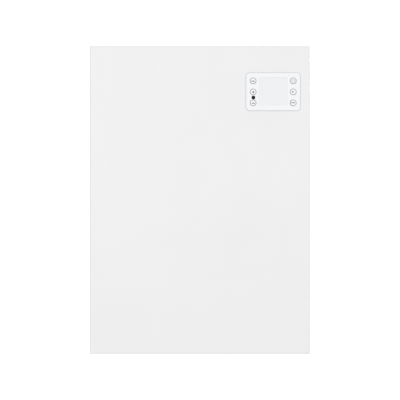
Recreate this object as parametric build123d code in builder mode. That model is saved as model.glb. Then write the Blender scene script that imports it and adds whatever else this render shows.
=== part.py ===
"""Wall-hung electric convector heater with a plain folded-steel front.

A decorative steel front panel stands off a slim steel casing.  Air enters the
casing through a slotted grille underneath, passes a finned X-section aluminium
element and leaves through long blades on top.  A partition keeps the control
bay on the right cool: the control module with its six round keys shows through
the top right corner of the panel, the power board, mains switch and cable gland
sit below it.  The heater hangs by four slots on a welded wall bracket whose
latch stops it being lifted off.

Frame: millimetres, +X to the viewer's right, +Y into the wall, +Z up.
The origin is the centre of the four wall holes, on the wall plane (y = 0);
the front face of the panel lies at y = -DEPTH.
"""

from build123d import *
from math import cos, sin, radians, sqrt
import os

os.makedirs("parts", exist_ok=True)

# ---------------------------------------------------------------- dimensions
PANEL_W, PANEL_H = 400.0, 560.0  # front panel, face size
DEPTH = 98.0                     # wall to front face
PANEL_T = 1.2                    # panel sheet
PANEL_RETURN = 26.0              # depth of the folded edges
PANEL_BEND = 2.2                 # outside bend radius
PANEL_LIP = 5.0                  # inward lip of the folded edges

CASE_W, CASE_H = 376.0, 524.0    # casing, outside
CASE_BACK, CASE_FRONT = -20.0, -85.0
CASE_T = 1.0
OUTLET_Y, OUTLET_D, OUTLET_W = -49.0, 44.0, 352.0   # outlet cut-out in the top
INLET_X, INLET_W = -57.0, 238.0                     # inlet cut-out in the base
PARTITION_X = 70.0               # left face of the partition

MX, MZ = 133.3, 196.7            # centre of the control module
MODULE_W, MODULE_H, MODULE_R = 98.6, 68.8, 6.8
FLANGE_T = 1.2                   # how far the module stands proud of the panel
GASKET_T, GASKET_EDGE = 0.4, 0.4 # foam gasket under the flange, and how far it shows
PLUG_W, PLUG_H, PLUG_R = 94.4, 64.6, 5.0
KEY_DX, KEY_Z, KEY_PITCH = 36.45, 196.4, 20.0
KEY_HOLE_R, KEY_R, KEY_FLANGE_R = 5.85, 5.5, 6.3
KEY_TRAVEL = 0.8
SCREEN_W, SCREEN_H, SCREEN_Z = 52.2, 51.0, 197.0
LENS_X, LENS_Z, LENS_R = 97.4, 186.1, 3.38

RAIL_W, RAIL_H, RAIL_DEPTH, RAIL_T = 280.0, 30.0, 18.5, 1.5
RAIL_Z = 205.0                   # centre of the upper rail; the lower is at -RAIL_Z
BOLT_X, BOLT_R = 125.0, 3.25
HOOK_X, HOOK_W, HOOK_RISE = 110.0, 24.0, 10.0
LIFT = 12.0                      # how far the heater lifts to clear the hooks
LATCH_Z, LATCH_TURN = 205.0, 40.0

ELEMENT_Y, ELEMENT_Z, ELEMENT_REACH = -55.5, -175.0, 24.0
ELEMENT_X0, ELEMENT_X1 = -156.0, 42.0

BOARD_X, BOARD_Z, BOARD_W, BOARD_H, BOARD_Y = 129.0, -110.0, 98.0, 130.0, -33.0
HEADER_A_X, HEADER_A_Z = MX, -53.0   # ribbon header on the power board
HEADER_B_X, HEADER_B_Z = 164.0, -160.0  # air sensor header
SWITCH_Y, SWITCH_Z, ROCKER_TILT = -48.0, -215.0, 10.0
GLAND_X, GLAND_Y, GLAND_BORE_R = 116.0, -50.0, 3.8
GLAND_GRIP, GLAND_THROAT_R = 12.0, 5.4
POD_X, POD_Y = 160.0, -50.0

PANEL_BACK = -DEPTH + PANEL_RETURN   # y of the panel's rear edge
PANEL_IN = -DEPTH + PANEL_T          # y of the panel's inner face


def front(y):
    """Plane at depth y whose normal points at the viewer; its axes are X and Z."""
    return Plane.XZ.offset(-y)


def across(x):
    """Plane at x whose normal is +X; its axes are Y and Z."""
    return Plane.YZ.offset(x)


def pan_screws(plane, points, head_r, head_h, shank_r, shank_len):
    """Cross-recess pan head screws; the heads stand on the plane."""
    along = Axis(plane.origin, plane.z_dir)
    with BuildPart() as group:
        with BuildSketch(plane):
            with Locations(*points):
                Circle(head_r)
        extrude(amount=head_h)
        fillet(group.faces().group_by(along)[-1].edges(), head_h * 0.55)
        with BuildSketch(plane.offset(head_h)):
            with Locations(*points):
                Rectangle(head_r * 1.15, head_r * 0.28)
                Rectangle(head_r * 0.28, head_r * 1.15)
        extrude(amount=-head_h * 0.65, mode=Mode.SUBTRACT)
        with BuildSketch(plane):
            with Locations(*points):
                Circle(shank_r)
        extrude(amount=-shank_len)
        chamfer(group.faces().group_by(along)[0].edges(), shank_r * 0.4)
    return group


def cap_point(rim, depth):
    """Radius and height of a point half way up a spherical cap."""
    ball = (rim**2 + depth**2) / (2 * depth)
    return rim / 2, ball - sqrt(ball**2 - rim**2 / 4)


def round_leads(routes, wire_r):
    """Insulated leads along straight runs joined by tangent arcs."""
    with BuildPart() as leads:
        for bend, *points in routes:
            with BuildLine() as path:
                FilletPolyline(*points, radius=bend)
            with BuildSketch(Plane(origin=path.line @ 0, z_dir=path.line % 0)):
                Circle(wire_r)
            sweep(path=path.line)
    return leads


pieces = {}

# =============================================================== front panel
# Folded and corner-welded steel tray, powder coated, with one window.
with BuildPart() as front_panel:
    with BuildSketch(front(PANEL_BACK)):
        RectangleRounded(PANEL_W, PANEL_H, 1.8)
    extrude(amount=PANEL_RETURN)
    fillet(front_panel.faces().sort_by(Axis.Y)[0].edges(), PANEL_BEND)
    offset(amount=-PANEL_T, openings=front_panel.faces().sort_by(Axis.Y)[-1])
    with BuildSketch(front(PANEL_BACK)):
        RectangleRounded(PANEL_W, PANEL_H, 1.8)
        RectangleRounded(PANEL_W - 2 * PANEL_LIP, PANEL_H - 2 * PANEL_LIP, 1.0, mode=Mode.SUBTRACT)
    extrude(amount=PANEL_T)
    with BuildSketch(front(-DEPTH)):
        with Locations((MX, MZ)):
            RectangleRounded(PLUG_W + 0.6, PLUG_H + 0.6, PLUG_R + 0.3)
    extrude(amount=-6, mode=Mode.SUBTRACT)
pieces["front_panel"] = front_panel

# Angles welded behind the panel; their legs lap the casing and take the screws.
RAIL_SCREW_X = (-140.0, 0.0, 140.0)
RAIL_SCREW_Y = -80.5


with BuildPart() as panel_angles:
    for sign in (1, -1):
        foot, leg = sign * CASE_H / 2, sign * (CASE_H / 2 + 1.5)
        tip = sign * (CASE_H / 2 + 15.0)
        with BuildSketch(across(-165.0)):
            with BuildLine():
                FilletPolyline((-76.0, foot), (PANEL_IN, foot), (PANEL_IN, tip), radius=2.2)
                Line((PANEL_IN, tip), (PANEL_IN + 1.5, tip))
                FilletPolyline((PANEL_IN + 1.5, tip), (PANEL_IN + 1.5, leg), (-76.0, leg), radius=0.8)
                Line((-76.0, leg), (-76.0, foot))
            make_face()
        extrude(amount=330.0)
    with BuildSketch(Plane.XY.offset(-CASE_H / 2 - 10)):
        with Locations(*[(x, RAIL_SCREW_Y) for x in RAIL_SCREW_X]):
            Circle(2.1)
    extrude(amount=CASE_H + 20, mode=Mode.SUBTRACT)
pieces["panel_angles"] = panel_angles

# ================================================================ rear casing
GRILLE_FIX = [(INLET_X + sx * (INLET_W + 7) / 2, OUTLET_Y + sy * 15.0) for sx in (-1, 1) for sy in (-1, 1)]
BRACKET_X = (ELEMENT_X0 - 8.0, ELEMENT_X1 + 6.8)     # near face of each element support
ELEMENT_FIX = [(x0 - 7.0, ELEMENT_Z + dz) for x0 in BRACKET_X for dz in (-11, 11)]
HOOK_SLOT_TOP = RAIL_Z + RAIL_H / 2 + 0.05
HOOK_SLOT_LOW = -RAIL_Z + RAIL_H / 2 + 0.05
BACK_RIBS = [(-116.0, 0.0, 280.0), (-24.0, 0.0, 280.0), (24.0, 0.0, 280.0), (116.0, -75.0, 160.0)]
with BuildPart() as rear_casing:
    with BuildSketch(front(CASE_BACK)):
        RectangleRounded(CASE_W, CASE_H, 3.0)
    extrude(amount=CASE_BACK - CASE_FRONT)
    fillet(rear_casing.faces().sort_by(Axis.Y)[-1].edges(), 2.0)
    offset(amount=-CASE_T, openings=rear_casing.faces().sort_by(Axis.Y)[0])
    # stiffening ribs pressed out of the back plate
    with BuildSketch(front(CASE_BACK)):
        for x, z, length in BACK_RIBS:
            with Locations((x, z)):
                SlotOverall(length, 12.0, rotation=90)
    extrude(amount=-1.2)
    with BuildSketch(front(CASE_BACK - CASE_T)):
        for x, z, length in BACK_RIBS:
            with Locations((x, z)):
                SlotOverall(length - 1.6, 10.4, rotation=90)
    extrude(amount=-1.2, mode=Mode.SUBTRACT)
    # inward flange that carries the baffle
    with BuildSketch(front(CASE_FRONT + CASE_T)):
        RectangleRounded(CASE_W, CASE_H, 3.0)
        RectangleRounded(CASE_W - 24, CASE_H - 24, 2.0, mode=Mode.SUBTRACT)
    extrude(amount=CASE_T)
    # outlet in the top, inlet in the base
    with BuildSketch(Plane.XY.offset(CASE_H / 2 - 6)):
        with Locations((0, OUTLET_Y)):
            RectangleRounded(OUTLET_W, OUTLET_D, 2.0)
    extrude(amount=12, mode=Mode.SUBTRACT)
    with BuildSketch(Plane.XY.offset(-CASE_H / 2 - 6)):
        with Locations((INLET_X, OUTLET_Y)):
            RectangleRounded(INLET_W, OUTLET_D, 2.0)
        with Locations((GLAND_X, GLAND_Y)):
            Circle(8.1)
        with Locations((POD_X, POD_Y)):
            Circle(5.1)
    extrude(amount=12, mode=Mode.SUBTRACT)
    # screw holes for the two angles and the grilles
    with BuildSketch(Plane.XY.offset(-CASE_H / 2 - 10)):
        with Locations(*[(x, RAIL_SCREW_Y) for x in RAIL_SCREW_X]):
            Circle(2.0)
    extrude(amount=CASE_H + 20, mode=Mode.SUBTRACT)
    # back plate: four hanging slots, the latch slot and rows of cooling slots
    with BuildSketch(front(CASE_BACK + 2)):
        with Locations(
            (-HOOK_X, HOOK_SLOT_TOP - 8.0), (HOOK_X, HOOK_SLOT_TOP - 8.0),
            (-HOOK_X, HOOK_SLOT_LOW - 8.0), (HOOK_X, HOOK_SLOT_LOW - 8.0),
        ):
            Rectangle(HOOK_W + 6, 16.0)
        with Locations((-25.5, 210.4)):
            Rectangle(21.0, 15.2)
        with Locations((129.0, 62.0)):
            with GridLocations(0, 7.0, 1, 7):
                SlotOverall(60.0, 3.2)
        with Locations((129.0, -236.0)):
            with GridLocations(0, 7.0, 1, 3):
                SlotOverall(60.0, 3.2)
    extrude(amount=4, mode=Mode.SUBTRACT)
    # side wall: cut-out for the mains switch
    with BuildSketch(across(CASE_W / 2 - 4)):
        with Locations((SWITCH_Y, SWITCH_Z)):
            Rectangle(12.8, 27.4)
    extrude(amount=8, mode=Mode.SUBTRACT)
    # notch in the flange that lets the control module through
    with BuildSketch(front(CASE_FRONT + 2)):
        with Locations((MX, MZ)):
            RectangleRounded(PLUG_W + 4, PLUG_H + 4, PLUG_R + 2)
    extrude(amount=4, mode=Mode.SUBTRACT)
    # holes for the grille screws and the element screws
    with BuildSketch(Plane.XY.offset(-CASE_H / 2 - 2)):
        with Locations(*GRILLE_FIX):
            Circle(1.75)
    extrude(amount=4, mode=Mode.SUBTRACT)
    with BuildSketch(front(CASE_BACK + 2)):
        with Locations(*ELEMENT_FIX):
            Circle(2.0)
    extrude(amount=4, mode=Mode.SUBTRACT)
    # baffle screw holes in the flange
    BAFFLE_SCREWS = [(-181.5, 235), (-181.5, 80), (-181.5, -80), (-181.5, -235),
                     (181.5, 120), (181.5, -80), (181.5, -235), (-60, 255.5), (-60, -255.5), (80, -255.5)]
    with BuildSketch(front(CASE_FRONT + 2)):
        with Locations(*BAFFLE_SCREWS):
            Circle(1.75)
    extrude(amount=4, mode=Mode.SUBTRACT)
pieces["rear_casing"] = rear_casing

# Flat sheet that closes the casing behind the decorative panel.
with BuildPart() as front_baffle:
    with BuildSketch(front(CASE_FRONT)):
        RectangleRounded(CASE_W - 2, CASE_H - 2, 2.5)
        with Locations((MX, MZ)):
            RectangleRounded(PLUG_W + 1.4, PLUG_H + 1.4, PLUG_R + 0.5, mode=Mode.SUBTRACT)
        with Locations(*BAFFLE_SCREWS):
            Circle(1.9, mode=Mode.SUBTRACT)
    extrude(amount=0.8)
    # two stiffening beads pressed towards the panel
    with BuildSketch(front(CASE_FRONT - 0.8)):
        with Locations((-57, 60), (-57, -90)):
            SlotOverall(180, 12)
    extrude(amount=1.2)
    with BuildSketch(front(CASE_FRONT)):
        with Locations((-57, 60), (-57, -90)):
            SlotOverall(178.4, 10.4)
    extrude(amount=1.2, mode=Mode.SUBTRACT)
pieces["front_baffle"] = front_baffle

# Partition between the warm air duct and the control bay.
with BuildPart() as partition:
    with BuildSketch(across(PARTITION_X)):
        with Locations(((CASE_FRONT + CASE_BACK) / 2, -5.6)):
            Rectangle(-CASE_FRONT + CASE_BACK - 2 * CASE_T, 508.2)
    extrude(amount=1.0)
    with BuildSketch(front(CASE_BACK - CASE_T)):
        with Locations((PARTITION_X - 5.0, -5.6)):
            Rectangle(10.0, 508.2)
        with Locations((PARTITION_X - 5.5, RAIL_Z), (PARTITION_X - 5.5, 0), (PARTITION_X - 5.5, -RAIL_Z)):
            Circle(1.75, mode=Mode.SUBTRACT)
    extrude(amount=1.0)
    # wire pass-through and cut-out opening
    with BuildSketch(across(PARTITION_X - 2)):
        with Locations((-40.0, -222.0)):
            Circle(5.0)
        with Locations((-52.0, -100.0)):
            Rectangle(16.0, 7.0)
    extrude(amount=6, mode=Mode.SUBTRACT)
pieces["partition"] = partition

# Rubber grommet in the pass-through.
with BuildPart() as wire_grommet:
    with BuildSketch(across(PARTITION_X - 2.0)):
        with Locations((-40.0, -222.0)):
            Circle(7.0)
            Circle(3.6, mode=Mode.SUBTRACT)
    extrude(amount=2.0)
    with BuildSketch(across(PARTITION_X)):
        with Locations((-40.0, -222.0)):
            Circle(4.9)
            Circle(3.6, mode=Mode.SUBTRACT)
    extrude(amount=1.0)
    with BuildSketch(across(PARTITION_X + 1.0)):
        with Locations((-40.0, -222.0)):
            Circle(7.0)
            Circle(3.6, mode=Mode.SUBTRACT)
    extrude(amount=2.0)
pieces["wire_grommet"] = wire_grommet

# ==================================================================== grilles
TOP_Z = CASE_H / 2
with BuildPart() as outlet_frame:
    with BuildSketch(Plane.XY.offset(TOP_Z)):
        with Locations((0, OUTLET_Y)):
            RectangleRounded(OUTLET_W + 10, OUTLET_D + 6, 3.0)
            RectangleRounded(OUTLET_W - 3.4, OUTLET_D - 3.4, 1.2, mode=Mode.SUBTRACT)
    extrude(amount=1.5)
    fillet(outlet_frame.faces().sort_by(Axis.Z)[-1].edges(), 0.6)
    with BuildSketch(Plane.XY.offset(TOP_Z)):
        with Locations((0, OUTLET_Y)):
            RectangleRounded(OUTLET_W - 0.4, OUTLET_D - 0.4, 1.8)
            RectangleRounded(OUTLET_W - 3.4, OUTLET_D - 3.4, 1.2, mode=Mode.SUBTRACT)
    extrude(amount=-12.0)
    # cross bars under the blades
    with BuildSketch(Plane.XY.offset(TOP_Z - 12.0)):
        with Locations((-116, OUTLET_Y), (0, OUTLET_Y), (116, OUTLET_Y)):
            Rectangle(2.0, OUTLET_D - 2.0)
    extrude(amount=3.0)
pieces["outlet_frame"] = outlet_frame

BLADE_PITCH, BLADE_T = 7.0, 1.5
with BuildPart() as outlet_blades:
    with BuildSketch(Plane.XY.offset(TOP_Z - 9.0)):
        with Locations(*[(0, OUTLET_Y + k * BLADE_PITCH) for k in (-2, -1, 0, 1, 2)]):
            Rectangle(OUTLET_W - 3.4, BLADE_T)
    extrude(amount=10.0)
    fillet(outlet_blades.faces().group_by(Axis.Z)[-1].edges().filter_by(Axis.X), 0.6)
pieces["outlet_blades"] = outlet_blades

with BuildPart() as inlet_grille:
    with BuildSketch(Plane.XY.offset(-TOP_Z - 1.2)):
        with Locations((INLET_X, OUTLET_Y)):
            RectangleRounded(INLET_W + 14, OUTLET_D + 6, 3.0)
            with GridLocations(11.0, 13.2, 21, 3):
                SlotOverall(10.8, 5.2, rotation=90, mode=Mode.SUBTRACT)
            with GridLocations(INLET_W + 7, 30, 2, 2):
                Circle(1.9, mode=Mode.SUBTRACT)
    extrude(amount=1.2)
pieces["inlet_grille"] = inlet_grille

# ==================================================================== element
# One aluminium extrusion pressed round a sheathed rod; the arms are slit.
with BuildPart() as heating_element:
    with BuildSketch(across(ELEMENT_X0)):
        with Locations((ELEMENT_Y, ELEMENT_Z)):
            Circle(7.0)
            for turn in (45, 135):
                Rectangle(2 * ELEMENT_REACH * sqrt(2), 2.0, rotation=turn)
            for turn in (45, 135, 225, 315):
                for away, wide in ((16.0, 9.0), (24.0, 13.0), (32.0, 9.0)):
                    with Locations((away * cos(radians(turn)), away * sin(radians(turn)))):
                        Rectangle(1.4, wide, rotation=turn)
            Circle(4.05, mode=Mode.SUBTRACT)
    extrude(amount=ELEMENT_X1 - ELEMENT_X0)
    for k in range(10):
        with BuildSketch(across(ELEMENT_X0 + 18.0 + k * 18.0)):
            with Locations((ELEMENT_Y, ELEMENT_Z)):
                Circle(46.0)
                Circle(12.5, mode=Mode.SUBTRACT)
        extrude(amount=2.4, mode=Mode.SUBTRACT)
pieces["heating_element"] = heating_element

with BuildPart() as element_rod:
    with BuildSketch(across(ELEMENT_X0 - 14)):
        with Locations((ELEMENT_Y, ELEMENT_Z)):
            Circle(4.0)
    extrude(amount=ELEMENT_X1 - ELEMENT_X0 + 28)
    chamfer(element_rod.edges(), 0.5)
pieces["element_rod"] = element_rod

# Two upright plates with a foot each on the back plate.
with BuildPart() as element_brackets:
    for x0 in BRACKET_X:
        with BuildSketch(across(x0)):
            with Locations((-50.5, ELEMENT_Z)):
                RectangleRounded(59.0, 36.0, 4.0)
            with Locations((-23.0, ELEMENT_Z)):
                Rectangle(4.0, 36.0)
            with Locations((ELEMENT_Y, ELEMENT_Z)):
                Circle(6.6, mode=Mode.SUBTRACT)
            with Locations((-33.0, ELEMENT_Z)):
                SlotOverall(20.0, 6.0, rotation=90, mode=Mode.SUBTRACT)
        extrude(amount=1.2)
        with BuildSketch(front(-21.0)):
            with Locations((x0 - 6.0, ELEMENT_Z)):
                Rectangle(13.2, 36.0)
        extrude(amount=1.2)
    with BuildSketch(front(-20.0)):
        with Locations(*ELEMENT_FIX):
            Circle(2.1)
    extrude(amount=4.0, mode=Mode.SUBTRACT)
pieces["element_brackets"] = element_brackets

# Ceramic bushes that carry the rod in the supports: neck, body and flange.
with BuildPart() as element_bushes:
    for x0, way in ((BRACKET_X[0], 1), (BRACKET_X[1] + 1.2, -1)):
        with BuildSketch(across(x0 - way * 3.5)):
            with Locations((ELEMENT_Y, ELEMENT_Z)):
                Circle(6.5)
        extrude(amount=way * 4.7)
        with BuildSketch(across(x0 + way * 1.2)):
            with Locations((ELEMENT_Y, ELEMENT_Z)):
                Circle(9.0)
        extrude(amount=way * 3.0)
    with BuildSketch(across(ELEMENT_X0 - 20.0)):
        with Locations((ELEMENT_Y, ELEMENT_Z)):
            Circle(4.05)
    extrude(amount=260.0, mode=Mode.SUBTRACT)
pieces["element_bushes"] = element_bushes

# Flat spade terminals on the rod's cold pins.
with BuildPart() as element_terminals:
    for x0, way in ((ELEMENT_X0 - 14, -1), (ELEMENT_X1 + 14, 1)):
        with BuildSketch(across(x0)):
            with Locations((ELEMENT_Y, ELEMENT_Z)):
                Circle(1.6)
        extrude(amount=way * 3.0)
        with BuildSketch(across(x0 + way * 3.0)):
            with Locations((ELEMENT_Y, ELEMENT_Z)):
                Rectangle(0.8, 6.3)
        extrude(amount=way * 6.0)
pieces["element_terminals"] = element_terminals

# Bright reflector between the element and the back plate, folded on two feet.
with BuildPart() as reflector_plate:
    with BuildSketch(across(-150.0)):
        with BuildLine():
            Polyline(
                (-21.0, -240.0), (-27.0, -240.0), (-27.0, -60.0), (-21.0, -60.0),
                (-21.0, -60.8), (-26.2, -60.8), (-26.2, -239.2), (-21.0, -239.2), close=True,
            )
        make_face()
    extrude(amount=190.0)
pieces["reflector_plate"] = reflector_plate

# Bimetal over-temperature cut-out on the partition, its tabs in the cool bay.
with BuildPart() as thermal_cutout:
    with BuildSketch(across(PARTITION_X)):
        with Locations((-52.0, -100.0)):
            Circle(8.2)
            SlotOverall(30.0, 7.5, rotation=90)
    extrude(amount=-0.8)
    with BuildSketch(across(PARTITION_X - 0.8)):
        with Locations((-52.0, -100.0)):
            Circle(8.0)
    extrude(amount=-7.0)
    fillet(thermal_cutout.faces().sort_by(Axis.X)[0].edges(), 1.2)
    with BuildSketch(across(PARTITION_X)):
        with Locations((-57.5, -100.0), (-46.5, -100.0)):
            Rectangle(0.8, 6.3)
    extrude(amount=9.0)
pieces["thermal_cutout"] = thermal_cutout

# ============================================================= control module
FACE_Y = -DEPTH - FLANGE_T           # front of the bezel
KEYS = {
    "key_minus": (MX - KEY_DX, KEY_Z + KEY_PITCH),
    "key_plus": (MX - KEY_DX, KEY_Z),
    "key_comfort": (MX - KEY_DX, KEY_Z - KEY_PITCH),
    "key_power": (MX + KEY_DX, KEY_Z + KEY_PITCH),
    "key_run": (MX + KEY_DX, KEY_Z),
    "key_menu": (MX + KEY_DX, KEY_Z - KEY_PITCH),
}
POSTS = [(MX + sx * 43.6, MZ + sz * 28.1) for sx in (-1, 1) for sz in (-1, 1)]
with BuildPart() as control_bezel:
    with BuildSketch(front(-DEPTH - GASKET_T)):
        with Locations((MX, MZ)):
            RectangleRounded(MODULE_W, MODULE_H, MODULE_R)
    extrude(amount=FLANGE_T - GASKET_T)
    fillet(control_bezel.faces().sort_by(Axis.Y)[0].edges(), 0.6)
    with BuildSketch(front(-DEPTH - GASKET_T)):
        with Locations((MX, MZ)):
            RectangleRounded(PLUG_W, PLUG_H, PLUG_R)
    extrude(amount=-18.0 - GASKET_T)
    with BuildSketch(front(-80.0)):
        with Locations((MX, MZ)):
            RectangleRounded(PLUG_W - 3.6, PLUG_H - 3.6, PLUG_R - 1.8)
    extrude(amount=16.8, mode=Mode.SUBTRACT)
    # screw posts
    with BuildSketch(front(-80.0)):
        with Locations(*POSTS):
            Circle(3.0)
    extrude(amount=16.8)
    with BuildSketch(front(-80.0)):
        with Locations(*POSTS):
            Circle(1.3)
    extrude(amount=8.0, mode=Mode.SUBTRACT)
    # key holes, lens hole and the stepped screen opening
    with BuildSketch(front(-90.0)):
        with Locations(*KEYS.values()):
            Circle(KEY_HOLE_R)
        with Locations((LENS_X, LENS_Z)):
            Circle(LENS_R + 0.1)
        with Locations((MX, SCREEN_Z)):
            RectangleRounded(SCREEN_W, SCREEN_H, 2.0)
    extrude(amount=12, mode=Mode.SUBTRACT)
    with BuildSketch(front(-94.0)):
        with Locations((MX, SCREEN_Z)):
            RectangleRounded(SCREEN_W + 3.2, SCREEN_H + 3.2, 2.6)
    extrude(amount=4.0, mode=Mode.SUBTRACT)
    # four snap noses that hold the module behind the panel sheet
    for dx in (-24.0, 24.0):
        for sz in (-1, 1):
            edge = MZ + sz * PLUG_H / 2
            with BuildSketch(across(MX + dx - 5.0)):
                with BuildLine():
                    Polyline(
                        (-96.6, edge - sz * 0.5), (-96.6, edge + sz * 1.6),
                        (-91.5, edge), (-91.5, edge - sz * 0.5), close=True,
                    )
                make_face()
            extrude(amount=10.0)
pieces["control_bezel"] = control_bezel

# Grey foam gasket between the flange and the panel; its edge shows all round.
with BuildPart() as bezel_gasket:
    with BuildSketch(front(-DEPTH)):
        with Locations((MX, MZ)):
            RectangleRounded(MODULE_W + 2 * GASKET_EDGE, MODULE_H + 2 * GASKET_EDGE, MODULE_R + GASKET_EDGE)
            RectangleRounded(PLUG_W + 1.0, PLUG_H + 1.0, PLUG_R + 0.5, mode=Mode.SUBTRACT)
    extrude(amount=GASKET_T)
pieces["bezel_gasket"] = bezel_gasket

with BuildPart() as display_window:
    with BuildSketch(front(-98.0)):
        with Locations((MX, SCREEN_Z)):
            RectangleRounded(SCREEN_W - 0.1, SCREEN_H - 0.1, 1.95)
    extrude(amount=1.1)
    with BuildSketch(front(-96.9)):
        with Locations((MX, SCREEN_Z)):
            RectangleRounded(SCREEN_W + 2.9, SCREEN_H + 2.9, 2.5)
    extrude(amount=1.1)
pieces["display_window"] = display_window

with BuildPart() as display_panel:
    with BuildSketch(front(-93.6)):
        with Locations((MX, SCREEN_Z)):
            RectangleRounded(SCREEN_W + 2.4, SCREEN_H + 2.4, 1.0)
    extrude(amount=3.2)
    with BuildSketch(front(-89.6)):
        with Locations((MX, SCREEN_Z)):
            Rectangle(SCREEN_W - 2.0, SCREEN_H - 2.0)
    extrude(amount=4.0)
pieces["display_panel"] = display_panel

with BuildPart() as control_board:
    with BuildSketch(front(-88.0)):
        with Locations((MX, MZ)):
            RectangleRounded(90.0, 60.2, 2.0)
        with Locations(*POSTS):
            Circle(3.4, mode=Mode.SUBTRACT)
    extrude(amount=1.6)
    # controller chip, connector and small parts on the rear
    with BuildSketch(front(-88.0)):
        with Locations((MX - 8, MZ + 6)):
            Rectangle(12, 12)
        with Locations((MX + 22, MZ - 12)):
            Rectangle(8, 5)
    extrude(amount=-1.6)
    with BuildSketch(front(-88.0)):
        with Locations((MX, MZ - 25.0)):
            Rectangle(15.0, 6.0)
    extrude(amount=-6.0)
pieces["control_board"] = control_board

with BuildPart() as tact_switches:
    with BuildSketch(front(-89.6)):
        with Locations(*KEYS.values()):
            Rectangle(6.0, 6.0)
    extrude(amount=3.5)
    chamfer(tact_switches.edges().filter_by(Axis.Y), 0.5)
    with BuildSketch(front(-93.1)):
        with Locations(*KEYS.values()):
            Circle(1.8)
    extrude(amount=-1.6, mode=Mode.SUBTRACT)
pieces["tact_switches"] = tact_switches

for key_name, (kx, kz) in KEYS.items():
    # dished cap, retaining collar and the stem that works the switch
    with BuildPart() as key:
        with BuildSketch(Plane(origin=(kx, 0, kz), x_dir=(1, 0, 0), z_dir=(0, 0, 1))):
            with BuildLine():
                rim = KEY_R - 0.45
                mid_r, mid_h = cap_point(rim, 0.3)
                Line((0, FACE_Y - 0.10), (0, -92.8))
                Line((0, -92.8), (1.7, -92.8))
                Line((1.7, -92.8), (1.7, -95.7))
                Line((1.7, -95.7), (KEY_FLANGE_R, -95.7))
                Line((KEY_FLANGE_R, -95.7), (KEY_FLANGE_R, -96.7))
                Line((KEY_FLANGE_R, -96.7), (KEY_R, -96.7))
                Line((KEY_R, -96.7), (KEY_R, FACE_Y + 0.05))
                Line((KEY_R, FACE_Y + 0.05), (rim, FACE_Y - 0.4))
                ThreePointArc((rim, FACE_Y - 0.4), (mid_r, FACE_Y - 0.10 - mid_h), (0, FACE_Y - 0.10))
            make_face()
        revolve(axis=Axis((kx, 0, kz), (0, 1, 0)))
    pieces[key_name] = key

with BuildPart() as sensor_lens:
    with BuildSketch(Plane(origin=(LENS_X, 0, LENS_Z), x_dir=(1, 0, 0), z_dir=(0, 0, 1))):
        with BuildLine():
            mid_r, mid_h = cap_point(LENS_R, 0.8)
            Line((0, -99.9), (0, -95.8))
            Line((0, -95.8), (LENS_R, -95.8))
            Line((LENS_R, -95.8), (LENS_R, -99.1))
            ThreePointArc((LENS_R, -99.1), (mid_r, -99.9 + mid_h), (0, -99.9))
        make_face()
    revolve(axis=Axis((LENS_X, 0, LENS_Z), (0, 1, 0)))
    # two ears behind the bezel keep it from coming out
    with BuildSketch(front(-95.8)):
        with Locations((LENS_X, LENS_Z)):
            Rectangle(8.6, 3.0)
    extrude(amount=0.95)
pieces["sensor_lens"] = sensor_lens

with BuildPart() as infrared_receiver:
    with BuildSketch(front(-89.6)):
        with Locations((LENS_X, LENS_Z)):
            Rectangle(4.6, 4.6)
    extrude(amount=3.6)
    with BuildSketch(front(-93.2)):
        with Locations((LENS_X, LENS_Z)):
            Circle(1.7)
    extrude(amount=1.6)
    fillet(infrared_receiver.faces().sort_by(Axis.Y)[0].edges(), 1.1)
pieces["infrared_receiver"] = infrared_receiver

with BuildPart() as control_housing:
    with BuildSketch(front(-62.0)):
        with Locations((MX, MZ)):
            RectangleRounded(PLUG_W, PLUG_H, PLUG_R)
    extrude(amount=18.0)
    fillet(control_housing.faces().sort_by(Axis.Y)[-1].edges(), 1.5)
    with BuildSketch(front(-63.8)):
        with Locations((MX, MZ)):
            RectangleRounded(PLUG_W - 3.6, PLUG_H - 3.6, PLUG_R - 1.8)
    extrude(amount=16.2, mode=Mode.SUBTRACT)
    with BuildSketch(front(-62.0)):
        with Locations(*POSTS):
            Circle(3.0)
    extrude(amount=18.0)
    with BuildSketch(front(-60.0)):
        with Locations(*POSTS):
            Circle(1.55)
        # vents in the back and the slot for the ribbon
        with Locations((MX, MZ + 6)):
            with GridLocations(0, 6.0, 1, 5):
                SlotOverall(44.0, 2.4)
        with Locations((MX, MZ - 24.0)):
            Rectangle(17.0, 4.0)
    extrude(amount=22.0, mode=Mode.SUBTRACT)
pieces["control_housing"] = control_housing

# Screws enter the module from behind, so their heads face the wall.
BEHIND = Plane(origin=(0, -62.0, 0), x_dir=(-1, 0, 0), z_dir=(0, 1, 0))
pieces["module_screws"] = pan_screws(BEHIND, [(-x, z) for x, z in POSTS], 2.6, 1.8, 1.25, 24.0)

# ================================================================= power board
with BuildPart() as power_board:
    with BuildSketch(front(BOARD_Y)):
        with Locations((BOARD_X, BOARD_Z)):
            RectangleRounded(BOARD_W, BOARD_H, 2.0)
            with GridLocations(BOARD_W - 10, BOARD_H - 10, 2, 2):
                Circle(1.8, mode=Mode.SUBTRACT)
    extrude(amount=1.6)
pieces["power_board"] = power_board

BOARD_FIX = [(BOARD_X + sx * (BOARD_W - 10) / 2, BOARD_Z + sz * (BOARD_H - 10) / 2) for sx in (-1, 1) for sz in (-1, 1)]
with BuildPart() as board_standoffs:
    with BuildSketch(front(CASE_BACK - CASE_T)):
        with Locations(*BOARD_FIX):
            RegularPolygon(3.6, 6)
    extrude(amount=-BOARD_Y + CASE_BACK - CASE_T)
    with BuildSketch(front(BOARD_Y)):
        with Locations(*BOARD_FIX):
            Circle(1.6)
    extrude(amount=-9.0, mode=Mode.SUBTRACT)
pieces["board_standoffs"] = board_standoffs
pieces["board_screws"] = pan_screws(front(BOARD_Y - 1.6), BOARD_FIX, 3.0, 2.0, 1.5, 8.0)

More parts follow.
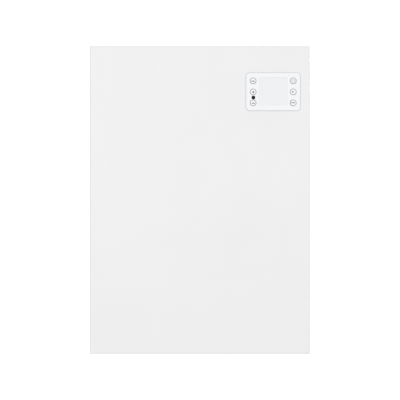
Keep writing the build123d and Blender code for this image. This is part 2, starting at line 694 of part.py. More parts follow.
BOARD_FACE = BOARD_Y - 1.6
with BuildPart() as power_transformer:
    with BuildSketch(front(BOARD_FACE)):
        with Locations((BOARD_X + 22, BOARD_Z + 24)):
            Rectangle(32.0, 27.0)
    extrude(amount=4.0)
    with BuildSketch(front(BOARD_FACE - 4.0)):
        with Locations((BOARD_X + 22, BOARD_Z + 24)):
            Rectangle(20.0, 22.0)
    extrude(amount=15.0)
    fillet(power_transformer.edges().filter_by(Axis.Y).group_by(SortBy.LENGTH)[-1], 3.0)
    with BuildSketch(front(BOARD_FACE - 4.0)):
        with Locations((BOARD_X + 22, BOARD_Z + 24)):
            Rectangle(32.0, 12.0)
    extrude(amount=20.0)
pieces["power_transformer"] = power_transformer

# Relay, box capacitor, two electrolytics, a leaded fuse and two headers.
with BuildPart() as board_components:
    with BuildSketch(front(BOARD_FACE)):
        with Locations((BOARD_X - 30, BOARD_Z - 8)):
            Rectangle(13.0, 29.0)
    extrude(amount=15.7)
    with BuildSketch(front(BOARD_FACE)):
        with Locations((BOARD_X - 28, BOARD_Z + 32)):
            Rectangle(26.0, 10.0)
    extrude(amount=18.0)
    fillet(board_components.edges(), 0.9)
    with BuildSketch(front(BOARD_FACE)):
        with Locations((BOARD_X - 4, BOARD_Z + 8), (BOARD_X - 4, BOARD_Z - 8)):
            Circle(5.0)
    extrude(amount=16.0)
    with BuildSketch(front(BOARD_FACE)):
        with Locations((HEADER_A_X, HEADER_A_Z)):
            Rectangle(16.0, 5.0)
        with Locations((HEADER_B_X, HEADER_B_Z)):
            Rectangle(8.0, 6.0)
    extrude(amount=6.0)
    with BuildSketch(across(BOARD_X + 12)):
        with Locations((BOARD_FACE - 4.6, BOARD_Z - 22)):
            Circle(2.5)
    extrude(amount=20.0)
    for x0 in (BOARD_X + 12, BOARD_X + 27):
        with BuildSketch(across(x0)):
            with Locations((BOARD_FACE - 4.6, BOARD_Z - 22)):
                Circle(2.9)
        extrude(amount=5.0)
        with BuildSketch(front(BOARD_FACE)):
            with Locations((x0 + 2.5, BOARD_Z - 22)):
                Circle(0.5)
        extrude(amount=3.0)
pieces["board_components"] = board_components

# Screw terminal strip for the mains lead, the switch and the element.
STRIP_X = [BOARD_X - 24 + 8.0 * k for k in range(7)]
STRIP_Z = BOARD_Z - 50.0
with BuildPart() as terminal_block:
    with BuildSketch(front(BOARD_FACE)):
        with Locations((BOARD_X, STRIP_Z)):
            Rectangle(58.0, 13.0)
    extrude(amount=15.0)
    chamfer(terminal_block.faces().sort_by(Axis.Y)[0].edges().filter_by(Axis.X), 2.0)
    with BuildSketch(front(BOARD_FACE - 15.0)):
        with Locations(*[(x, STRIP_Z) for x in STRIP_X]):
            Circle(2.3)
    extrude(amount=-5.0, mode=Mode.SUBTRACT)
    # wire mouths on the lower side
    with BuildSketch(Plane.XY.offset(STRIP_Z - 6.5)):
        with Locations(*[(x, BOARD_FACE - 5.5) for x in STRIP_X]):
            Rectangle(4.6, 5.0)
    extrude(amount=6.0, mode=Mode.SUBTRACT)
pieces["terminal_block"] = terminal_block

with BuildPart() as terminal_screws:
    with BuildSketch(front(BOARD_FACE - 10.0)):
        with Locations(*[(x, STRIP_Z) for x in STRIP_X]):
            Circle(2.1)
    extrude(amount=2.6)
    with BuildSketch(front(BOARD_FACE - 12.6)):
        with Locations(*[(x, STRIP_Z) for x in STRIP_X]):
            Rectangle(3.4, 0.6, rotation=25)
    extrude(amount=-0.9, mode=Mode.SUBTRACT)
pieces["terminal_screws"] = terminal_screws

# ================================================================ mains switch
WALL_X = CASE_W / 2
with BuildPart() as mains_switch_body:
    with BuildSketch(across(WALL_X)):
        with Locations((SWITCH_Y, SWITCH_Z)):
            RectangleRounded(15.6, 32.0, 1.6)
    extrude(amount=1.6)
    fillet(mains_switch_body.faces().sort_by(Axis.X)[-1].edges(), 0.6)
    with BuildSketch(across(WALL_X)):
        with Locations((SWITCH_Y, SWITCH_Z)):
            Rectangle(12.4, 27.0)
    extrude(amount=-20.0)
    with BuildSketch(across(WALL_X + 1.6)):
        with Locations((SWITCH_Y, SWITCH_Z)):
            Rectangle(10.4, 25.0)
    extrude(amount=-13.0, mode=Mode.SUBTRACT)
    # bearing holes for the rocker's trunnions
    with BuildSketch(front(SWITCH_Y - 6.0)):
        with Locations((WALL_X - 2.0, SWITCH_Z)):
            Circle(1.55)
    extrude(amount=-12.0, mode=Mode.SUBTRACT)
pieces["mains_switch_body"] = mains_switch_body

ROCKER_X = WALL_X - 2.0
# Rocker drawn tilted to its off position: the lower end is pressed in.
tilt = Plane(origin=(ROCKER_X, SWITCH_Y + 5.0, SWITCH_Z), x_dir=(cos(radians(ROCKER_TILT)), 0, -sin(radians(ROCKER_TILT))), z_dir=(0, -1, 0))
with BuildPart() as mains_rocker:
    with BuildSketch(tilt):
        Circle(12.2)
        with BuildLine():
            Polyline((-4.0, -13.0), (-4.0, 13.0), (5.9, 13.0), (3.0, 0.0), (5.9, -13.0), close=True)
        make_face(mode=Mode.INTERSECT)
    extrude(amount=10.0)
    fillet(mains_rocker.edges().filter_by(GeomType.LINE).filter_by(Axis.Y).group_by(Axis.X)[-1], 0.5)
    with BuildSketch(tilt.offset(-0.8)):
        Circle(1.5)
    extrude(amount=11.6)
pieces["mains_rocker"] = mains_rocker

with BuildPart() as switch_terminals:
    with BuildSketch(across(WALL_X - 20.0)):
        with Locations(*[(SWITCH_Y + dy, SWITCH_Z + dz) for dy in (-3.2, 3.2) for dz in (-8, 2)]):
            Rectangle(0.8, 4.8)
    extrude(amount=-8.0)
pieces["switch_terminals"] = switch_terminals

# ========================================================= gland and air sensor
with BuildPart() as cable_gland:
    with BuildSketch(Plane.XY.offset(-TOP_Z)):
        with Locations((GLAND_X, GLAND_Y)):
            RegularPolygon(12.0, 6)
    extrude(amount=-5.0)
    with BuildSketch(Plane.XY.offset(-TOP_Z - 5.0)):
        with Locations((GLAND_X, GLAND_Y)):
            Circle(9.6)
    extrude(amount=-9.5)
    fillet(cable_gland.faces().sort_by(Axis.Z)[0].edges(), 2.6)
    with BuildSketch(Plane.XY.offset(-TOP_Z)):
        with Locations((GLAND_X, GLAND_Y)):
            Circle(8.0)
    extrude(amount=12.0)
    # the cord is gripped in the outer half; the threaded half has a wider throat
    with BuildSketch(Plane.XY.offset(-TOP_Z - 15.0)):
        with Locations((GLAND_X, GLAND_Y)):
            Circle(GLAND_BORE_R)
    extrude(amount=28.0, mode=Mode.SUBTRACT)
    with BuildSketch(Plane.XY.offset(-TOP_Z - 14.5 + GLAND_GRIP)):
        with Locations((GLAND_X, GLAND_Y)):
            Circle(GLAND_THROAT_R)
    extrude(amount=28.0, mode=Mode.SUBTRACT)
pieces["cable_gland"] = cable_gland
with BuildPart() as gland_nut:
    with BuildSketch(Plane.XY.offset(-TOP_Z + CASE_T)):
        with Locations((GLAND_X, GLAND_Y)):
            RegularPolygon(11.5, 6)
            Circle(8.05, mode=Mode.SUBTRACT)
    extrude(amount=4.5)
pieces["gland_nut"] = gland_nut

with BuildPart() as sensor_pod:
    with BuildSketch(Plane.XY.offset(-TOP_Z)):
        with Locations((POD_X, POD_Y)):
            Circle(7.5)
    extrude(amount=-1.6)
    with BuildSketch(Plane.XY.offset(-TOP_Z - 1.6)):
        with Locations((POD_X, POD_Y)):
            Circle(5.0)
    extrude(amount=-12.0)
    fillet(sensor_pod.faces().sort_by(Axis.Z)[0].edges(), 3.0)
    with BuildSketch(Plane.XY.offset(-TOP_Z)):
        with Locations((POD_X, POD_Y)):
            Circle(5.0)
    extrude(amount=6.0)
    with BuildSketch(Plane.XY.offset(-TOP_Z + 6.0)):
        with Locations((POD_X, POD_Y)):
            Circle(3.6)
    extrude(amount=-17.0, mode=Mode.SUBTRACT)
    for turn in (0, 60, 120):
        with BuildSketch(Plane(origin=(POD_X, POD_Y, -TOP_Z - 6.6), x_dir=(-sin(radians(turn)), cos(radians(turn)), 0), z_dir=(cos(radians(turn)), sin(radians(turn)), 0))):
            SlotOverall(7.4, 1.8, rotation=90)
        extrude(amount=12, both=True, mode=Mode.SUBTRACT)
pieces["sensor_pod"] = sensor_pod
with BuildPart() as air_sensor:
    with Locations((POD_X, POD_Y, -TOP_Z - 6.0)):
        Sphere(2.0)
    with BuildSketch(Plane.XY.offset(-TOP_Z - 6.0)):
        with Locations((POD_X, POD_Y)):
            Circle(1.1)
    extrude(amount=22.0)
pieces["air_sensor"] = air_sensor

# ====================================================================== screws
with BuildPart() as panel_screws:
    for sign in (1, -1):
        seat = sign * (TOP_Z + 1.5)
        for x in RAIL_SCREW_X:
            with BuildSketch(Plane.XY.offset(seat)):
                with Locations((x, RAIL_SCREW_Y)):
                    Circle(3.6)
            extrude(amount=sign * 2.4)
            with BuildSketch(Plane.XY.offset(seat)):
                with Locations((x, RAIL_SCREW_Y)):
                    Circle(1.9)
            extrude(amount=-sign * 9.0)
            with BuildSketch(Plane.XY.offset(seat + sign * 2.4)):
                with Locations((x, RAIL_SCREW_Y)):
                    Rectangle(4.2, 0.9)
                    Rectangle(0.9, 4.2)
            extrude(amount=-sign * 1.6, mode=Mode.SUBTRACT)
    fillet(panel_screws.edges().filter_by(GeomType.CIRCLE).filter_by(lambda e: e.radius > 3.5 and abs(abs(e.center().Z) - TOP_Z - 3.9) < 0.01), 1.2)
pieces["panel_screws"] = panel_screws
pieces["element_screws"] = pan_screws(front(-22.2), ELEMENT_FIX, 3.4, 2.2, 1.9, 3.0)
BELOW = Plane(origin=(0, 0, -TOP_Z - 1.2), x_dir=(1, 0, 0), z_dir=(0, 0, -1))
# the same screw holds the baffle and the inlet grille
with BuildPart() as casing_screws:
    add(pan_screws(front(CASE_FRONT - 0.8), BAFFLE_SCREWS, 3.2, 2.0, 1.7, 8.0).part)
    add(pan_screws(BELOW, [(x, -y) for x, y in GRILLE_FIX], 3.2, 2.0, 1.7, 8.0).part)
pieces["casing_screws"] = casing_screws

# =============================================================== internal leads
MOUTH_Y, MOUTH_Z = BOARD_FACE - 5.5, STRIP_Z - 1.5   # where a lead ends in the strip
TAB_X = WALL_X - 28.0                                # end of the switch's tabs
switch_routes = []
for slot, dy, dz, knee in ((5, -3.2, 2, -190), (4, -3.2, -8, -192), (6, 3.2, 2, -188), (3, 3.2, -8, -190)):
    x, y, z = STRIP_X[slot], SWITCH_Y + dy, SWITCH_Z + dz
    switch_routes.append(
        (4.0, (TAB_X, y, z), (x, y, z), (x, y, knee), (x, MOUTH_Y, -177.0), (x, MOUTH_Y, MOUTH_Z))
    )
pieces["switch_leads"] = round_leads(switch_routes, 1.1)

SPADE_Z = ELEMENT_Z - 3.15
SPADE_LEFT, SPADE_RIGHT = ELEMENT_X0 - 20.0, ELEMENT_X1 + 20.0
pieces["element_leads"] = round_leads(
    [
        (6.0, (SPADE_RIGHT, ELEMENT_Y, SPADE_Z), (SPADE_RIGHT, ELEMENT_Y, -204.0), (53.0, -40.0, -220.3),
         (86.0, -40.0, -220.3), (STRIP_X[1], MOUTH_Y, -190.0), (STRIP_X[1], MOUTH_Y, MOUTH_Z)),
        (6.0, (SPADE_LEFT, ELEMENT_Y, SPADE_Z), (SPADE_LEFT, ELEMENT_Y, -224.0), (-150.0, -40.0, -247.0),
         (20.0, -40.0, -247.0), (50.0, -40.0, -223.7), (93.0, -40.0, -223.7),
         (STRIP_X[2], MOUTH_Y, -188.0), (STRIP_X[2], MOUTH_Y, MOUTH_Z)),
    ],
    1.3,
)
pieces["earth_lead"] = round_leads(
    [(5.0, (STRIP_X[0], MOUTH_Y, MOUTH_Z), (STRIP_X[0], MOUTH_Y, -184.0), (90.0, -37.0, -206.0), (90.0, CASE_BACK - CASE_T, -206.0))],
    1.3,
)
pieces["sensor_lead"] = round_leads(
    [(3.0, (POD_X, POD_Y, -246.0), (POD_X, POD_Y, -238.5), (160.0, -61.0, -227.0), (162.0, -61.0, -195.0),
      (HEADER_B_X, -37.6, -176.0), (HEADER_B_X, -37.6, HEADER_B_Z - 3.0))],
    1.0,
)
# flat ribbon from the control board to the power board
with BuildPart() as ribbon_cable:
    with BuildLine(Plane.YZ.offset(MX)) as ribbon_path:
        FilletPolyline((-82.0, MZ - 25.0), (-52.0, MZ - 25.0), (-37.6, 140.0), (-37.6, HEADER_A_Z + 2.5), radius=10.0)
    with BuildSketch(Plane(origin=ribbon_path.line @ 0, x_dir=(1, 0, 0), z_dir=ribbon_path.line % 0)):
        Rectangle(12.0, 0.9)
    sweep(path=ribbon_path.line)
pieces["ribbon_cable"] = ribbon_cable

# ================================================================ wall bracket
def bracket_rail(z_mid, notch):
    """Channel pressed from sheet, open to the front, with two upturned hooks."""
    top = z_mid + RAIL_H / 2
    with BuildPart() as rail:
        with BuildSketch(across(-RAIL_W / 2)):
            with BuildLine():
                Polyline(
                    (0, z_mid - RAIL_H / 2), (-RAIL_DEPTH, z_mid - RAIL_H / 2),
                    (-RAIL_DEPTH, z_mid - RAIL_H / 2 + RAIL_T), (-RAIL_T, z_mid - RAIL_H / 2 + RAIL_T),
                    (-RAIL_T, top - RAIL_T), (-RAIL_DEPTH, top - RAIL_T),
                    (-RAIL_DEPTH, top), (0, top), close=True,
                )
            make_face()
        extrude(amount=RAIL_W)
        fillet(rail.edges().filter_by(Axis.X).group_by(Axis.Y)[-1], 1.4)
        for x in (-HOOK_X, HOOK_X):
            with BuildSketch(across(x - HOOK_W / 2)):
                with BuildLine():
                    Polyline(
                        (-RAIL_DEPTH + 0.5, top - RAIL_T), (-RAIL_DEPTH - 5.0, top - RAIL_T),
                        (-RAIL_DEPTH - 5.0, top + HOOK_RISE), (-RAIL_DEPTH - 3.5, top + HOOK_RISE),
                        (-RAIL_DEPTH - 3.5, top), (-RAIL_DEPTH + 0.5, top), close=True,
                    )
                make_face()
            extrude(amount=HOOK_W)
        if notch:
            with BuildSketch(Plane.XY.offset(top - 4)):
                with Locations(((26.0 - 37.0) / 2, -RAIL_DEPTH / 2 - 2.0)):
                    Rectangle(63.0, RAIL_DEPTH)
            extrude(amount=8, mode=Mode.SUBTRACT)
            with BuildSketch(front(0)):
                with Locations((0, LATCH_Z)):
                    Circle(2.5)
            extrude(amount=3, mode=Mode.SUBTRACT)
        with BuildSketch(front(1)):
            with Locations((-BOLT_X, z_mid), (BOLT_X, z_mid)):
                Circle(BOLT_R)
            with Locations((-60, z_mid), (60, z_mid)):
                SlotOverall(26, 6.5)
        extrude(amount=4, mode=Mode.SUBTRACT)
    return rail


pieces["bracket_rail_top"] = bracket_rail(RAIL_Z, True)
pieces["bracket_rail_bottom"] = bracket_rail(-RAIL_Z, False)


# Two uprights join the rails; each is a strip with folded edges.
STRAP_LEN = 2 * RAIL_Z - RAIL_H
with BuildPart() as bracket_straps:
    for x_mid in (-70.0, 70.0):
        with BuildSketch(front(0)):
            with Locations((x_mid, 0)):
                Rectangle(30.0, STRAP_LEN)
                with GridLocations(0, 100.0, 1, 3):
                    SlotOverall(40.0, 8.0, rotation=90, mode=Mode.SUBTRACT)
        extrude(amount=RAIL_T)
        with BuildSketch(front(0)):
            with Locations((x_mid - 15.0 + RAIL_T / 2, 0), (x_mid + 15.0 - RAIL_T / 2, 0)):
                Rectangle(RAIL_T, STRAP_LEN)
        extrude(amount=8.0)
pieces["bracket_straps"] = bracket_straps

# Latch lever: thumb tab at the top, nose through the casing at the left.
with BuildPart() as bracket_latch:
    with BuildSketch(front(-8.6)):
        with Locations((0, LATCH_Z)):
            Circle(9.0)
        with Locations((-17.0, LATCH_Z)):
            Rectangle(34.0, 10.0)
        with Locations((0, LATCH_Z + 31.5)):
            Rectangle(12.0, 63.0)
        with Locations((0, LATCH_Z)):
            Circle(2.55, mode=Mode.SUBTRACT)
    extrude(amount=1.4)
    with BuildSketch(front(-9.5)):
        with Locations((-29.0, LATCH_Z)):
            Rectangle(10.0, 2.0)
    extrude(amount=15.5)
    with BuildSketch(Plane.XY.offset(LATCH_Z + 61.5)):
        with Locations((0, -13.3)):
            RectangleRounded(16.0, 9.4, 1.5)
    extrude(amount=1.5)
pieces["bracket_latch"] = bracket_latch

with BuildPart() as latch_rivet:
    with BuildSketch(front(-RAIL_T)):
        with Locations((0, LATCH_Z)):
            Circle(4.5)
    extrude(amount=7.0)
    with BuildSketch(front(-8.5)):
        with Locations((0, LATCH_Z)):
            Circle(2.5)
    extrude(amount=1.6)
    with BuildSketch(front(-10.1)):
        with Locations((0, LATCH_Z)):
            Circle(5.0)
    extrude(amount=1.6)
    fillet(latch_rivet.faces().sort_by(Axis.Y)[0].edges(), 1.2)
    with BuildSketch(front(0)):
        with Locations((0, LATCH_Z)):
            Circle(2.46)
    extrude(amount=RAIL_T)
pieces["latch_rivet"] = latch_rivet

# Rubber buffers low on the back plate keep the heater upright on the wall.
with BuildPart() as wall_buffers:
    with BuildSketch(front(CASE_BACK)):
        with Locations((-160, -243), (160, -243)):
            Circle(11.0)
    extrude(amount=-19.6)
    fillet(wall_buffers.faces().group_by(Axis.Y)[-1].edges(), 2.5)
pieces["wall_buffers"] = wall_buffers

# ======================================================================= write
for name, piece in pieces.items():
    piece.part.label = name
    export_step(piece.part, f"parts/{name}.step")
print(len(pieces), "pieces")
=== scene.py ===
"""Looks of the wall convector heater: materials, printed symbols, weld beads, floor, light and camera."""

import math

import bmesh
import bpy
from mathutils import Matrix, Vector


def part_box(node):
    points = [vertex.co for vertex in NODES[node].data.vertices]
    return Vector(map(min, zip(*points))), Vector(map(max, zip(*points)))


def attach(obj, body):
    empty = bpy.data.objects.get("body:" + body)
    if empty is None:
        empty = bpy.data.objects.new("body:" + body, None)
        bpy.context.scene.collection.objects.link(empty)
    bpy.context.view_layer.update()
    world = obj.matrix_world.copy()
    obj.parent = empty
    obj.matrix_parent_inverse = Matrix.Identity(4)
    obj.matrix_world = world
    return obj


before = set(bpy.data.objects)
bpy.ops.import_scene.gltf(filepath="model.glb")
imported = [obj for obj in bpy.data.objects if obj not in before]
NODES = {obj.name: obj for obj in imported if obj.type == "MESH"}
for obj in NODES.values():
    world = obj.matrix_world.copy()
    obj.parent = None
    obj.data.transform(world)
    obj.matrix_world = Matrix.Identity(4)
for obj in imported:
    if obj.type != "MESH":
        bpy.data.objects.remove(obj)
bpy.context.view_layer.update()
scene = bpy.context.scene

# ------------------------------------------------------------------ materials


class Graph:
    """A node material under construction, on object coordinates in metres."""

    def __init__(self, name):
        self.mat = bpy.data.materials.new(name)
        self.mat.use_nodes = True
        self.tree = self.mat.node_tree
        self.tree.nodes.clear()
        self.out = self.tree.nodes.new("ShaderNodeOutputMaterial")
        self.bsdf = self.tree.nodes.new("ShaderNodeBsdfPrincipled")
        self.link(self.bsdf.outputs["BSDF"], self.out.inputs["Surface"])
        self.coord = self.tree.nodes.new("ShaderNodeTexCoord").outputs["Object"]

    def link(self, a, b):
        self.tree.links.new(a, b)

    def add(self, kind, **values):
        node = self.tree.nodes.new(kind)
        for key, value in values.items():
            setattr(node, key, value)
        return node

    def stretched(self, scale=(1, 1, 1), turn=(0, 0, 0)):
        node = self.add("ShaderNodeMapping")
        node.inputs["Scale"].default_value = scale
        node.inputs["Rotation"].default_value = turn
        self.link(self.coord, node.inputs["Vector"])
        return node.outputs["Vector"]

    def noise(self, scale, detail=3.0, rough=0.5, vector=None, distortion=0.0):
        node = self.add("ShaderNodeTexNoise")
        node.inputs["Scale"].default_value = scale
        node.inputs["Detail"].default_value = detail
        node.inputs["Roughness"].default_value = rough
        node.inputs["Distortion"].default_value = distortion
        self.link(vector or self.coord, node.inputs["Vector"])
        return node.outputs["Fac"]

    def voronoi(self, scale, feature="F1", output="Distance", vector=None, metric="EUCLIDEAN"):
        node = self.add("ShaderNodeTexVoronoi", feature=feature, distance=metric)
        node.inputs["Scale"].default_value = scale
        self.link(vector or self.coord, node.inputs["Vector"])
        return node.outputs[output]

    def span(self, fac, low, high, from_low=0.0, from_high=1.0):
        node = self.add("ShaderNodeMapRange")
        node.inputs["From Min"].default_value = from_low
        node.inputs["From Max"].default_value = from_high
        node.inputs["To Min"].default_value = low
        node.inputs["To Max"].default_value = high
        self.link(fac, node.inputs["Value"])
        return node.outputs["Result"]

    def ramp(self, fac, *stops):
        node = self.add("ShaderNodeValToRGB")
        elements = node.color_ramp.elements
        while len(elements) < len(stops):
            elements.new(0.5)
        for element, (place, colour) in zip(elements, stops):
            element.position = place
            element.color = (*colour, 1.0)
        self.link(fac, node.inputs["Fac"])
        return node.outputs["Color"]

    def mix(self, fac, a, b):
        node = self.add("ShaderNodeMix", data_type="RGBA")
        self.link(fac, node.inputs[0])
        for value, socket in ((a, node.inputs[6]), (b, node.inputs[7])):
            if isinstance(value, tuple):
                socket.default_value = (*value, 1.0)
            else:
                self.link(value, socket)
        return node.outputs[2]

    def times(self, a, b, op="MULTIPLY"):
        node = self.add("ShaderNodeMath", operation=op)
        for value, socket in ((a, node.inputs[0]), (b, node.inputs[1])):
            if isinstance(value, (int, float)):
                socket.default_value = value
            else:
                self.link(value, socket)
        return node.outputs[0]

    def bump(self, height, strength, distance, below=None):
        node = self.add("ShaderNodeBump")
        node.inputs["Strength"].default_value = strength
        node.inputs["Distance"].default_value = distance
        self.link(height, node.inputs["Height"])
        if below is not None:
            self.link(below, node.inputs["Normal"])
        return node.outputs["Normal"]

    def finish(self, colour=None, rough=None, normal=None, **constants):
        for value, name in ((colour, "Base Color"), (rough, "Roughness"), (normal, "Normal")):
            if value is None:
                continue
            socket = self.bsdf.inputs[name]
            if isinstance(value, tuple):
                socket.default_value = (*value, 1.0)
            elif isinstance(value, float):
                socket.default_value = value
            else:
                self.link(value, socket)
        for name, value in constants.items():
            self.bsdf.inputs[name.replace("_", " ")].default_value = value
        return self.mat


def scaled(colour, k):
    return tuple(min(1.0, c * k) for c in colour)


def powder_coat(name, colour, rough=0.42, peel=1.0):
    """Baked powder paint: slow orange peel, a fine grain and a faint unevenness of tone."""
    g = Graph(name)
    tone = g.noise(9.0, 2.0)
    paint = g.ramp(tone, (0.3, scaled(colour, 0.992)), (0.7, scaled(colour, 1.006)))
    peel_height = g.noise(420.0, 2.0, 0.4)
    grain = g.noise(2600.0, 2.0, 0.6)
    normal = g.bump(grain, 0.10 * peel, 0.00006, g.bump(peel_height, 0.18 * peel, 0.00022))
    sheen = g.span(g.noise(60.0, 3.0), rough - 0.04, rough + 0.05)
    return g.finish(paint, sheen, normal, IOR=1.5)


def moulded(name, colour, rough=0.5, grain=0.25, scale=1500.0, tint=0.02, ior=1.5):
    """Injection-moulded plastic with a spark-eroded grain and faint flow marks."""
    g = Graph(name)
    flow = g.noise(35.0, 4.0, 0.6, g.stretched((1, 1, 0.3)), 0.6)
    skin = g.ramp(flow, (0.25, scaled(colour, 1 - tint)), (0.75, scaled(colour, 1 + tint)))
    cells = g.voronoi(scale, "SMOOTH_F1")
    normal = g.bump(cells, grain, 0.00005, g.bump(g.noise(220.0, 2.0), 0.08, 0.0001))
    return g.finish(skin, g.span(g.noise(140.0, 3.0), rough - 0.05, rough + 0.06), normal, IOR=ior)


def galvanised(name, colour=(0.56, 0.575, 0.585), spangle=210.0):
    """Hot-dip zinc: crystal flakes of differing tone and gloss, with faint rolling lines."""
    g = Graph(name)
    warped = g.stretched((1.0, 1.0, 0.75))
    flake = g.voronoi(spangle, "F1", "Color", warped)
    split = g.add("ShaderNodeSeparateColor")
    g.link(flake, split.inputs["Color"])
    inner = g.noise(spangle * 4.0, 4.0, 0.6)
    level = g.times(g.times(split.outputs["Red"], 0.7), g.times(inner, 0.3), "ADD")
    tone = g.ramp(level, (0.0, scaled(colour, 0.84)), (0.5, colour), (1.0, scaled(colour, 1.18)))
    gloss = g.span(split.outputs["Green"], 0.34, 0.50)
    edge = g.voronoi(spangle, "DISTANCE_TO_EDGE", "Distance", warped)
    normal = g.bump(g.span(edge, 0.0, 1.0, 0.0, 0.08), 0.05, 0.00004, g.bump(g.noise(900.0, 2.0), 0.05, 0.00004))
    return g.finish(tone, gloss, normal, Metallic=0.92)


def drawn_metal(name, colour, rough=0.3, along=(1, 40, 40), scale=60.0, depth=0.12):
    """Bright metal with fine lines along one direction."""
    g = Graph(name)
    lines = g.noise(scale, 5.0, 0.65, g.stretched(along))
    tone = g.ramp(lines, (0.25, scaled(colour, 0.82)), (0.75, scaled(colour, 1.1)))
    normal = g.bump(lines, depth, 0.00008)
    return g.finish(tone, g.span(lines, rough + 0.1, rough - 0.08), normal, Metallic=1.0)


def zinc_screw(name, colour=(0.66, 0.67, 0.69)):
    g = Graph(name)
    cloud = g.noise(500.0, 4.0, 0.6)
    tone = g.ramp(cloud, (0.2, scaled(colour, 0.78)), (0.8, scaled(colour, 1.12)))
    return g.finish(tone, g.span(cloud, 0.42, 0.22), g.bump(g.noise(3000.0, 3.0), 0.2, 0.00003), Metallic=1.0)


def circuit_board(name):
    """Green solder mask over a net of copper tracks, with pale drilled pads."""
    g = Graph(name)
    cells = g.voronoi(210.0, "DISTANCE_TO_EDGE", "Distance", g.stretched((1, 0.02, 1)), "EUCLIDEAN")
    tracks = g.span(cells, 1.0, 0.0, 0.03, 0.07)
    pads = g.span(g.voronoi(170.0, "F1", "Distance", g.stretched((1, 0.02, 1))), 1.0, 0.0, 0.10, 0.16)
    mask = g.mix(tracks, (0.012, 0.10, 0.045), (0.03, 0.19, 0.085))
    mask = g.mix(pads, mask, (0.50, 0.47, 0.38))
    height = g.times(tracks, pads, "MAXIMUM")
    return g.finish(mask, g.span(pads, 0.33, 0.5), g.bump(height, 0.35, 0.00006), IOR=1.5)


def rubber(name, colour=(0.018, 0.018, 0.019)):
    g = Graph(name)
    dust = g.noise(90.0, 5.0, 0.7)
    tone = g.ramp(dust, (0.35, colour), (0.85, scaled(colour, 2.2)))
    return g.finish(tone, g.span(dust, 0.72, 0.9), g.bump(g.noise(1400.0, 3.0), 0.35, 0.00008), IOR=1.52)


def ceramic(name):
    g = Graph(name)
    body = g.noise(260.0, 5.0, 0.65)
    tone = g.ramp(body, (0.3, (0.76, 0.73, 0.66)), (0.75, (0.86, 0.84, 0.79)))
    return g.finish(tone, g.span(body, 0.62, 0.78), g.bump(g.noise(1700.0, 4.0), 0.25, 0.00005), IOR=1.6)


def lead_jacket(name, colour, stripe=None, along=2):
    """Wire insulation: slightly shiny, with a second colour wound round an earth lead."""
    g = Graph(name)
    grain = g.noise(700.0, 3.0, 0.6)
    skin = g.ramp(grain, (0.3, scaled(colour, 0.9)), (0.7, scaled(colour, 1.08)))
    if stripe is not None:
        split = g.add("ShaderNodeSeparateXYZ")
        g.link(g.coord, split.inputs["Vector"])
        wound = g.times(g.times(split.outputs["X"], 900.0), g.times(split.outputs["Z"], 520.0), "ADD")
        wave = g.times(wound, 0.0, "SINE")
        skin = g.mix(g.span(wave, 0.0, 1.0, -0.1, 0.1), skin, stripe)
    return g.finish(skin, g.span(grain, 0.36, 0.48), g.bump(grain, 0.12, 0.00004), IOR=1.49)


def screen_glass(name):
    """Blank anti-glare window over a pale grey liquid-crystal field, with painted shade that darkens it towards its
    top.
    """
    g = Graph(name)
    split = g.add("ShaderNodeSeparateXYZ")
    g.link(g.coord, split.inputs["Vector"])
    # painted shade: the field's colour is made darker towards the top of the window
    painted_shade_to_top = g.span(split.outputs["Z"], 0.0, 1.0, 0.168, 0.225)
    cloud = g.noise(45.0, 2.0)
    field = g.ramp(
        g.times(g.times(painted_shade_to_top, 0.7), g.times(cloud, 0.3), "ADD"),
        (0.1, (0.822, 0.830, 0.848)), (0.9, (0.806, 0.814, 0.832)),
    )
    sparkle = g.noise(5200.0, 1.0)
    return g.finish(field, g.span(sparkle, 0.20, 0.30), g.bump(sparkle, 0.05, 0.00002), IOR=1.5,
                    Coat_Weight=0.35, Coat_Roughness=0.12)


def key_cap(name, colour, rim):
    """White cap moulded into a grey rim; the rim starts at a fixed radius from each key's axis."""
    g = Graph(name)
    split = g.add("ShaderNodeSeparateXYZ")
    g.link(g.coord, split.inputs["Vector"])
    across = g.times(g.times(g.times(split.outputs["X"], -KEYS_X, "ADD"), 0.0, "ABSOLUTE"), -KEYS_DX, "ADD")
    up = g.add("ShaderNodeMath", operation="WRAP")
    g.link(g.times(split.outputs["Z"], -KEYS_Z, "ADD"), up.inputs[0])
    up.inputs[1].default_value, up.inputs[2].default_value = KEYS_PITCH / 2, -KEYS_PITCH / 2
    away = g.times(g.times(across, across), g.times(up.outputs[0], up.outputs[0]), "ADD")
    away = g.times(away, 0.5, "POWER")
    edge = g.span(away, 0.0, 1.0, RIM_FROM - 0.00005, RIM_FROM + 0.00005)
    grain = g.voronoi(3000.0, "SMOOTH_F1")
    flow = g.noise(90.0, 3.0)
    white = g.ramp(flow, (0.25, scaled(colour, 0.994)), (0.75, scaled(colour, 1.006)))
    grey = g.ramp(flow, (0.25, scaled(rim, 0.96)), (0.75, scaled(rim, 1.04)))
    return g.finish(g.mix(edge, white, grey), g.span(g.noise(300.0, 3.0), 0.36, 0.46),
                    g.bump(grain, 0.08, 0.00004), IOR=1.5)


def foam(name):
    """Closed-cell foam: small dark pores in a mid-grey skin."""
    g = Graph(name)
    pores = g.voronoi(2600.0, "F1")
    skin = g.ramp(pores, (0.05, scaled(GASKET_GREY, 0.6)), (0.4, GASKET_GREY))
    return g.finish(skin, g.span(pores, 0.95, 0.8), g.bump(pores, 0.4, 0.0001), IOR=1.45)


